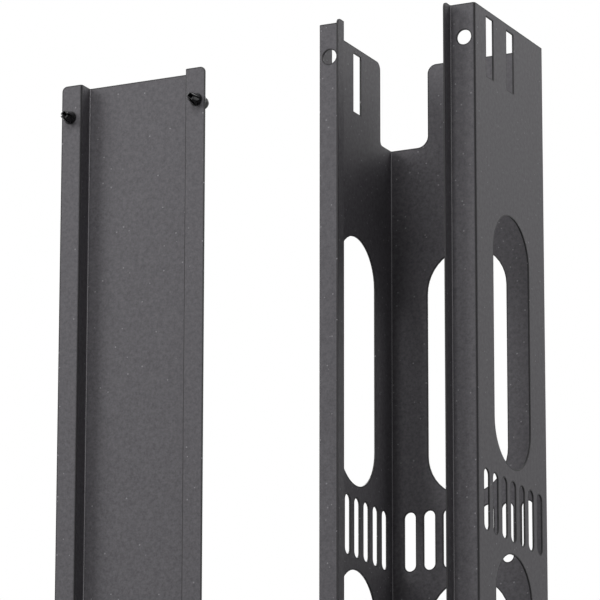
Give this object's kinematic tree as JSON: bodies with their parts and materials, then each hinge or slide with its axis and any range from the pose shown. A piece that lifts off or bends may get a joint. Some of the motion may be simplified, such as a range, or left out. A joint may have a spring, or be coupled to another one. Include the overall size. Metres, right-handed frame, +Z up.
{
  "type": "vertical cable manager",
  "caption": "Upright sheet-metal cable trough with cable windows and tie slots in three walls, and its push-fit front cover with push-pull latches, shown taken off.",
  "frame": {"origin": "on the floor, under the middle of the box round the trough and the cover", "axes": "+Z up along the trough, +X to the right seen from the front, +Y to the rear"},
  "size_m": [0.4476, 0.1626, 2.1082],
  "materials": {
    "black_powder_coat": "fine-textured black powder coat on steel sheet",
    "black_nylon": "moulded black nylon, semi-gloss"
  },
  "bodies": {
    "trough": {"trough": "black_powder_coat"},
    "cover": {"cover": "black_powder_coat", "grommet_bottom_left": "black_nylon", "grommet_bottom_right": "black_nylon", "grommet_middle_left": "black_nylon", "grommet_middle_right": "black_nylon", "grommet_top_left": "black_nylon", "grommet_top_right": "black_nylon"},
    "plunger_bottom_left": {"plunger_bottom_left": "black_nylon"},
    "plunger_bottom_right": {"plunger_bottom_right": "black_nylon"},
    "plunger_middle_left": {"plunger_middle_left": "black_nylon"},
    "plunger_middle_right": {"plunger_middle_right": "black_nylon"},
    "plunger_top_left": {"plunger_top_left": "black_nylon"},
    "plunger_top_right": {"plunger_top_right": "black_nylon"}
  },
  "joints": [
    {"name": "cover_swing", "type": "hinge", "parent": "trough", "child": "cover", "pos_m": [-0.00085, -0.0378, 0], "axis": [0, 0, 1], "range_deg": [0, 180]},
    {"name": "push_bottom_left", "type": "slide", "parent": "cover", "child": "plunger_bottom_left", "axis": [0, -1, 0], "range_m": [0, 0.007]},
    {"name": "push_bottom_right", "type": "slide", "parent": "cover", "child": "plunger_bottom_right", "axis": [0, -1, 0], "range_m": [0, 0.007]},
    {"name": "push_middle_left", "type": "slide", "parent": "cover", "child": "plunger_middle_left", "axis": [0, -1, 0], "range_m": [0, 0.007]},
    {"name": "push_middle_right", "type": "slide", "parent": "cover", "child": "plunger_middle_right", "axis": [0, -1, 0], "range_m": [0, 0.007]},
    {"name": "push_top_left", "type": "slide", "parent": "cover", "child": "plunger_top_left", "axis": [0, -1, 0], "range_m": [0, 0.007]},
    {"name": "push_top_right", "type": "slide", "parent": "cover", "child": "plunger_top_right", "axis": [0, -1, 0], "range_m": [0, 0.007]}
  ]
}
